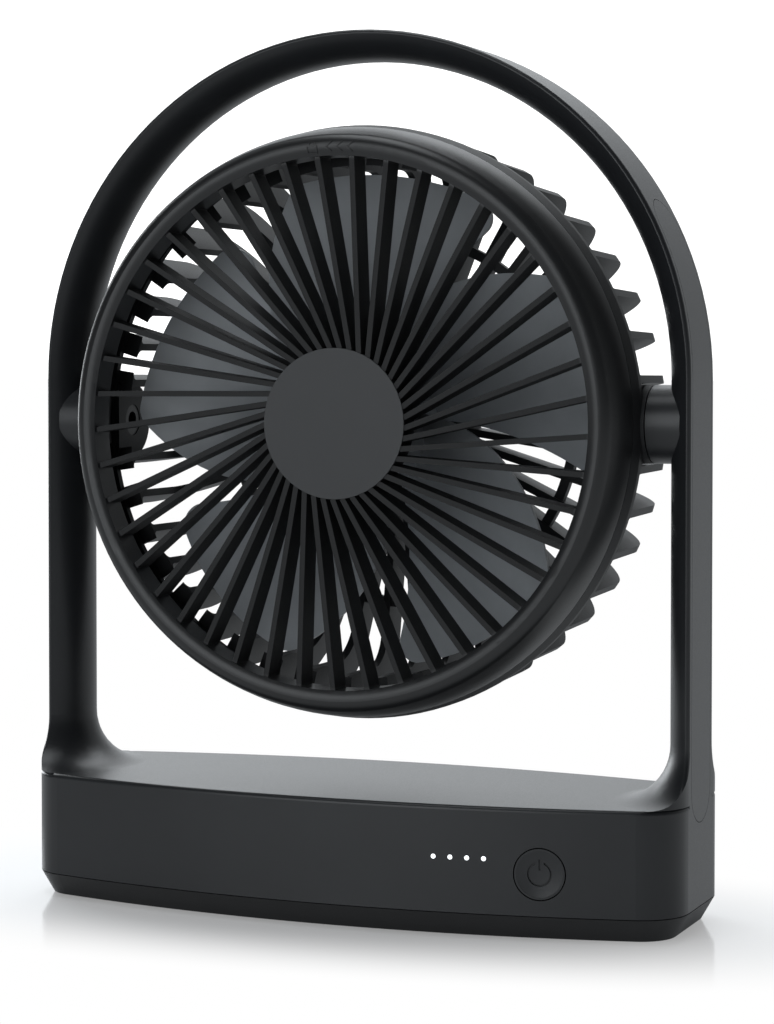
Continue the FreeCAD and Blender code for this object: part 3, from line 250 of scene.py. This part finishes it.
def materials():
    steel = turned_metal("steel", (0.55, 0.55, 0.56))
    return {
        "housing_plastic": moulded("housing plastic", HOUSING, rough=0.36),
        "tray_plastic": moulded("tray plastic", TRAY, rough=0.5),
        "button_plastic": moulded("button plastic", HOUSING, rough=0.36),
        "grille_plastic": grille_plastic("grille plastic"),
        "guard_plastic": moulded("guard plastic", GUARD, rough=0.52, specular=0.32),
        "blade_plastic": moulded("blade plastic", BLADE_PAINTED_LIGHT, rough=0.38, grain=2400),
        "foot_rubber": rubber("foot rubber", (0.012, 0.012, 0.013)),
        "lead_sleeve": rubber("lead sleeve", (0.018, 0.018, 0.019)),
        "zinc_steel": steel,
        "nickel": turned_metal("nickel strip", (0.62, 0.59, 0.54), 0.25),
        "socket_steel": turned_metal("socket steel", (0.60, 0.60, 0.61), 0.22),
        "pin_plastic": moulded("pin plastic", (0.012, 0.012, 0.013), rough=0.4),
        "pin_steel": turned_metal("turned steel", (0.50, 0.50, 0.52), 0.25, stretch=(12, 1, 1)),
        "bearing_steel": turned_metal("bearing steel", (0.62, 0.62, 0.64), 0.18),
        "can_steel": turned_metal("rotor steel", (0.50, 0.50, 0.50), 0.32),
        "lamination_steel": turned_metal("stator laminations", (0.30, 0.31, 0.33), 0.4, 1500, (1, 20, 1)),
        "motor_aluminium": turned_metal("die-cast aluminium", (0.70, 0.71, 0.72), 0.45, 300, (1, 1, 1)),
        "cell_wrap": moulded("cell sleeve", (0.02, 0.12, 0.28), rough=0.25),
        "board_green": circuit_board("solder mask"),
        "component_black": moulded("component case", (0.012, 0.012, 0.013), rough=0.5),
        "clear_white": charge_light("charge light"),
        "light_chip": moulded("light chip", (0.75, 0.72, 0.55), rough=0.3),
        "acetal": moulded("acetal", (0.62, 0.62, 0.58), rough=0.35),
        "copper_winding": windings("copper winding"),
        "ferrite": moulded("ferrite", (0.035, 0.035, 0.037), rough=0.55),
    }


FINISH = materials()


def dress_cad_nodes():
    """Give every CAD node the material of its slot."""
    for part in frame["record"]["subparts"]:
        obj = frame["nodes"][part["node"]]
        material = FINISH[part["material_slot"]]
        if not obj.material_slots:
            obj.data.materials.append(material)
        for slot in obj.material_slots:
            slot.material = material


dress_cad_nodes()


# ---------------------------------------------------------------- details on the grille

# The cap on the disc, and the raised signs on the ring: places and sizes in metres
DISC_FACE = -0.0233
DISC_RADIUS = 0.01845
DISC_SIDES = 128
CAP_RISE = 0.00025
CAP_SUNK = 0.00020
CAP_EDGE = 0.00018
SIGN_RADIUS = 0.0680
SIGN_UNIT = 0.0013
PADLOCK_X = -0.0051
ARROW_PLACES = (-0.0006, 0.0022, 0.0050)
STROKE_STEPS = 6
STROKE_WIDTH = 0.00042
STROKE_RISE = 0.00020
STROKE_SUNK = 0.00010


def solid(name, outline, front, rear, body, material, rounding):
    """A flat piece that faces the front, between two places along Y. Its outline is (x, z) from the axis."""
    mesh = bpy.data.meshes.new(name)
    count = len(outline)
    points = [(x, rear, AXIS_HEIGHT + z) for x, z in outline]
    points += [(x, front, AXIS_HEIGHT + z) for x, z in outline]
    sides = [(i, (i + 1) % count, count + (i + 1) % count, count + i) for i in range(count)]
    mesh.from_pydata(points, [], [tuple(range(count)), tuple(reversed(range(count, 2 * count)))] + sides)
    mesh.materials.append(material)
    obj = bpy.data.objects.new(name, mesh)
    bpy.context.scene.collection.objects.link(obj)
    bevel = obj.modifiers.new("edge", "BEVEL")
    bevel.width = rounding
    bevel.segments = 3
    bevel.limit_method = "ANGLE"
    bevel.angle_limit = math.radians(50)
    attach(obj, body)


def disc_cap():
    """Matt round cap on the middle of the grille."""
    turns = [math.tau * i / DISC_SIDES for i in range(DISC_SIDES)]
    rim = [(DISC_RADIUS * math.cos(turn), DISC_RADIUS * math.sin(turn)) for turn in turns]
    material = moulded("disc plastic", DISC, rough=0.46, grain=4200, depth=0.000014, change=0.06)
    front, rear = DISC_FACE - CAP_RISE, DISC_FACE + CAP_SUNK
    solid("grille_disc", rim, front, rear, "grille", material, CAP_EDGE)


def on_ring(x, z):
    """The point and normal of the grille's front surface at (x, z) from the axis."""
    start = Vector((x, CAD_BOX[0][1] - 0.01, AXIS_HEIGHT + z))
    _, place, normal, _ = frame["nodes"]["front_grille"].ray_cast(start, Vector((0, 1, 0)))
    return place, normal


def stroke(mesh, corners):
    """A raised ribbon along corners, laid on the curved ring."""
    points = []
    for (x1, z1), (x2, z2) in zip(corners, corners[1:]):
        points += [(x1 + (x2 - x1) * i / STROKE_STEPS, z1 + (z2 - z1) * i / STROKE_STEPS)
                   for i in range(STROKE_STEPS)]
    points.append(corners[-1])
    rows = []
    for index, (x, z) in enumerate(points):
        before, after = points[max(index - 1, 0)], points[min(index + 1, len(points) - 1)]
        along = Vector((after[0] - before[0], after[1] - before[1])).normalized()
        row = []
        for side, rise in ((-1, -STROKE_SUNK), (-1, STROKE_RISE), (1, STROKE_RISE), (1, -STROKE_SUNK)):
            reach = side * STROKE_WIDTH / 2
            place, normal = on_ring(x - along.y * reach, z + along.x * reach)
            row.append(mesh.verts.new(place + normal * rise))
        rows.append(row)
    for first, second in zip(rows, rows[1:]):
        for i in range(4):
            mesh.faces.new((first[i], first[(i + 1) % 4], second[(i + 1) % 4], second[i]))
    mesh.faces.new(rows[0])
    mesh.faces.new(reversed(rows[-1]))


def ring_signs():
    """Small raised padlock and arrows on top of the ring: the grille turns anticlockwise to open."""
    shape = bmesh.new()
    body = [(-0.95, -1.1), (0.95, -1.1), (0.95, 0.25), (-0.95, 0.25), (-0.95, -1.1)]
    shackle = [(0.62 * math.cos(math.pi * i / 8), 0.25 + 0.85 * math.sin(math.pi * i / 8)) for i in range(9)]
    for outline in (body, shackle):
        stroke(shape, [turned_up(PADLOCK_X, x, z) for x, z in outline])
    for place in ARROW_PLACES:
        stroke(shape, [turned_up(place, x, z) for x, z in ((0.6, 1.0), (-0.6, 0.0), (0.6, -1.0))])
    bmesh.ops.recalc_face_normals(shape, faces=shape.faces)
    mesh = bpy.data.meshes.new("ring_signs")
    shape.to_mesh(mesh)
    shape.free()
    mesh.materials.append(moulded("sign plastic", GRILLE, rough=0.42))
    obj = bpy.data.objects.new("ring_signs", mesh)
    bpy.context.scene.collection.objects.link(obj)
    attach(obj, "grille")


def turned_up(place, x, z):
    """Sign coordinates to the ring, upright at the angle where the sign sits."""
    angle = (place + x * SIGN_UNIT) / SIGN_RADIUS
    radius = SIGN_RADIUS + z * SIGN_UNIT
    return (math.sin(angle) * radius, math.cos(angle) * radius)


disc_cap()
ring_signs()


# ---------------------------------------------------------------- studio

FLOOR_ROUGH = 0.12
FLOOR_SQUEEZE = 0.42
FADE_START = 0.034
FADE_END = 0.085
FLOOR_NEAR = 0.25
FLOOR_BOUNCE = 0.60
WORLD_FRONT = 0.06
WORLD_BACK_LEFT = 1.80
WORLD_BACK_RIGHT = 0.42
FLOOR_SHIFT = 0.0090
COOL = (0.93, 0.97, 1.0)


def seen_by_camera(tree, seen, unseen):
    """One strength for what the camera sees directly and another for all other light."""
    path = tree.nodes.new("ShaderNodeLightPath")
    choose = tree.nodes.new("ShaderNodeMapRange")
    choose.inputs["To Min"].default_value = unseen
    choose.inputs["To Max"].default_value = seen
    tree.links.new(path.outputs["Is Camera Ray"], choose.inputs["Value"])
    return choose.outputs["Result"]


def white_when_seen(tree):
    """White where the camera sees it directly, a little cool in all other light."""
    mix = tree.nodes.new("ShaderNodeMix")
    mix.data_type = "RGBA"
    mix.inputs["A"].default_value = (*COOL, 1)
    mix.inputs["B"].default_value = (1, 1, 1, 1)
    tree.links.new(tree.nodes.new("ShaderNodeLightPath").outputs["Is Camera Ray"], mix.inputs["Factor"])
    return mix.outputs["Result"]


def floor():
    """Pale floor: a soft reflection and shadow round the base, plain white further out."""
    bpy.ops.mesh.primitive_plane_add(size=40, location=(0, 0, 0))
    obj = bpy.context.object
    obj.name = "studio_floor"
    material, tree, shader = new_material("pale floor")
    shader.inputs["Base Color"].default_value = (0.86, 0.86, 0.87, 1)
    shader.inputs["Roughness"].default_value = FLOOR_ROUGH
    white = tree.nodes.new("ShaderNodeEmission")
    tree.links.new(white_when_seen(tree), white.inputs["Color"])
    tree.links.new(seen_by_camera(tree, 1.0, FLOOR_BOUNCE), white.inputs["Strength"])
    coords = tree.nodes.new("ShaderNodeTexCoord").outputs["Object"]
    squeeze = tree.nodes.new("ShaderNodeMapping")
    squeeze.inputs["Scale"].default_value = (FLOOR_SQUEEZE, 1.0, 1.0)
    squeeze.inputs["Location"].default_value = (FLOOR_SHIFT, 0, 0)
    tree.links.new(coords, squeeze.inputs["Vector"])
    distance = tree.nodes.new("ShaderNodeVectorMath")
    distance.operation = "LENGTH"
    tree.links.new(squeeze.outputs["Vector"], distance.inputs[0])
    fade = tree.nodes.new("ShaderNodeMapRange")
    fade.interpolation_type = "SMOOTHSTEP"
    fade.inputs["From Min"].default_value = FADE_START
    fade.inputs["From Max"].default_value = FADE_END
    fade.inputs["To Min"].default_value = FLOOR_NEAR
    fade.inputs["To Max"].default_value = 1.0
    tree.links.new(distance.outputs["Value"], fade.inputs["Value"])
    mix = tree.nodes.new("ShaderNodeMixShader")
    tree.links.new(fade.outputs["Result"], mix.inputs["Fac"])
    tree.links.new(shader.outputs["BSDF"], mix.inputs[1])
    tree.links.new(white.outputs["Emission"], mix.inputs[2])
    tree.links.new(mix.outputs["Shader"], tree.nodes["Material Output"].inputs["Surface"])
    obj.data.materials.append(material)


def softbox(name, place, width, height, brightness):
    """Evenly bright rectangle that faces the fan; brightness 1 looks white."""
    light = bpy.data.lights.new(name, "AREA")
    light.shape = "RECTANGLE"
    light.size, light.size_y = width, height
    light.energy = brightness * math.pi * width * height
    light.color = COOL
    obj = bpy.data.objects.new(name, light)
    bpy.context.scene.collection.objects.link(obj)
    obj.location = place
    obj.rotation_euler = (Vector((0, 0, 0.11)) - Vector(place)).to_track_quat("-Z", "Y").to_euler()
    obj.visible_camera = False


def world():
    """White to the camera. To the object: bright behind its left, dimmer behind its right, dark before it."""
    scene_world = bpy.data.worlds.new("studio")
    bpy.context.scene.world = scene_world
    scene_world.use_nodes = True
    tree = scene_world.node_tree
    back = tree.nodes["Background"]
    tree.links.new(white_when_seen(tree), back.inputs["Color"])
    direction = tree.nodes.new("ShaderNodeTexCoord").outputs["Generated"]
    axes = tree.nodes.new("ShaderNodeSeparateXYZ")
    tree.links.new(direction, axes.inputs["Vector"])
    ramp = tree.nodes.new("ShaderNodeMapRange")
    ramp.interpolation_type = "SMOOTHSTEP"
    ramp.inputs["From Min"].default_value = -0.1
    ramp.inputs["From Max"].default_value = 0.95
    ramp.inputs["To Min"].default_value = WORLD_FRONT
    side = tree.nodes.new("ShaderNodeMapRange")
    side.interpolation_type = "SMOOTHSTEP"
    side.inputs["From Min"].default_value = -0.75
    side.inputs["From Max"].default_value = 0.42
    side.inputs["To Min"].default_value = WORLD_BACK_LEFT
    side.inputs["To Max"].default_value = WORLD_BACK_RIGHT
    tree.links.new(axes.outputs["X"], side.inputs["Value"])
    tree.links.new(side.outputs["Result"], ramp.inputs["To Max"])
    tree.links.new(axes.outputs["Y"], ramp.inputs["Value"])
    most = tree.nodes.new("ShaderNodeMath")
    most.operation = "MAXIMUM"
    tree.links.new(ramp.outputs["Result"], most.inputs[0])
    tree.links.new(tree.nodes.new("ShaderNodeLightPath").outputs["Is Camera Ray"], most.inputs[1])
    tree.links.new(most.outputs["Value"], back.inputs["Strength"])


def camera():
    data = bpy.data.cameras.new("camera")
    data.lens = 95.73
    data.shift_x, data.shift_y = 0.0171, -0.0687
    obj = bpy.data.objects.new("camera", data)
    bpy.context.scene.collection.objects.link(obj)
    obj.location = (0.2616, -0.6401, 0.1381)
    obj.rotation_euler = (math.radians(90 - 1.661), 0, math.radians(22.224))
    bpy.context.scene.camera = obj


floor()
world()
softbox("front_left", (-0.42, -1.50, 0.52), 1.1, 1.0, 2.35)
softbox("left_back", (-1.20, 0.85, 0.50), 0.6, 1.1, 3.6)
softbox("overhead", (-0.20, -0.05, 1.30), 0.9, 0.5, 3.0)
softbox("back_top", (0.02, 1.00, 1.15), 0.8, 0.4, 3.0)
camera()
bpy.context.scene.view_settings.view_transform = "Standard"
